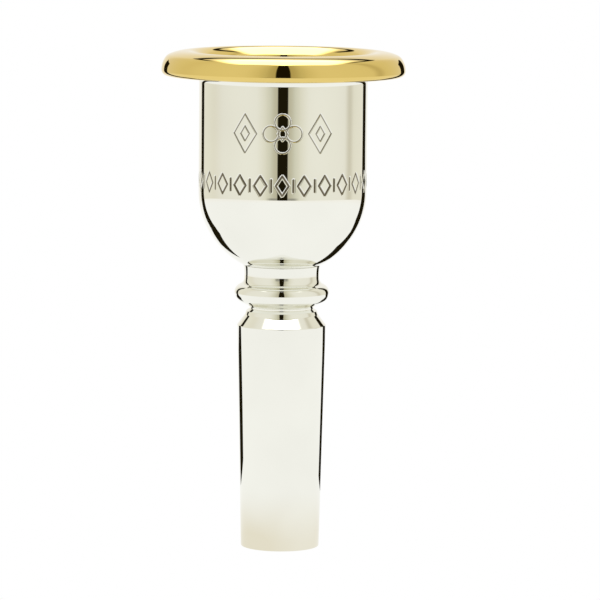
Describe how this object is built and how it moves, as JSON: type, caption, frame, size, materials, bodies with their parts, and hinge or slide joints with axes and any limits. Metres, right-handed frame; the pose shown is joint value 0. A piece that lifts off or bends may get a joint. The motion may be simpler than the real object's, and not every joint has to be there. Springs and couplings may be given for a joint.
{
  "type": "trombone mouthpiece",
  "caption": "Cup mouthpiece for a low brass instrument: broad rounded gold-coloured rim, straight-sided silver bowl with a round base, beaded neck and long tapered shank.",
  "frame": {"origin": "centre of the shank's end face, the end that enters the instrument", "axes": "+Z along the air way, from the shank's end up to the rim; +X and +Y across, free to choose because every piece is turned"},
  "size_m": [0.0392, 0.0392, 0.0805],
  "materials": {
    "gold_plate": "polished gold plate over turned brass",
    "silver_plate": "polished silver plate over turned brass"
  },
  "bodies": {
    "shank": {"shank": "silver_plate"},
    "cup": {"cup": "silver_plate"},
    "rim": {"rim": "gold_plate"}
  },
  "joints": [
    {"name": "cup_unscrews", "type": "slide", "parent": "shank", "child": "cup", "axis": [0, 0, 1], "range_m": [0, 0.012]},
    {"name": "rim_unscrews", "type": "slide", "parent": "cup", "child": "rim", "axis": [0, 0, 1], "range_m": [0, 0.01]}
  ]
}
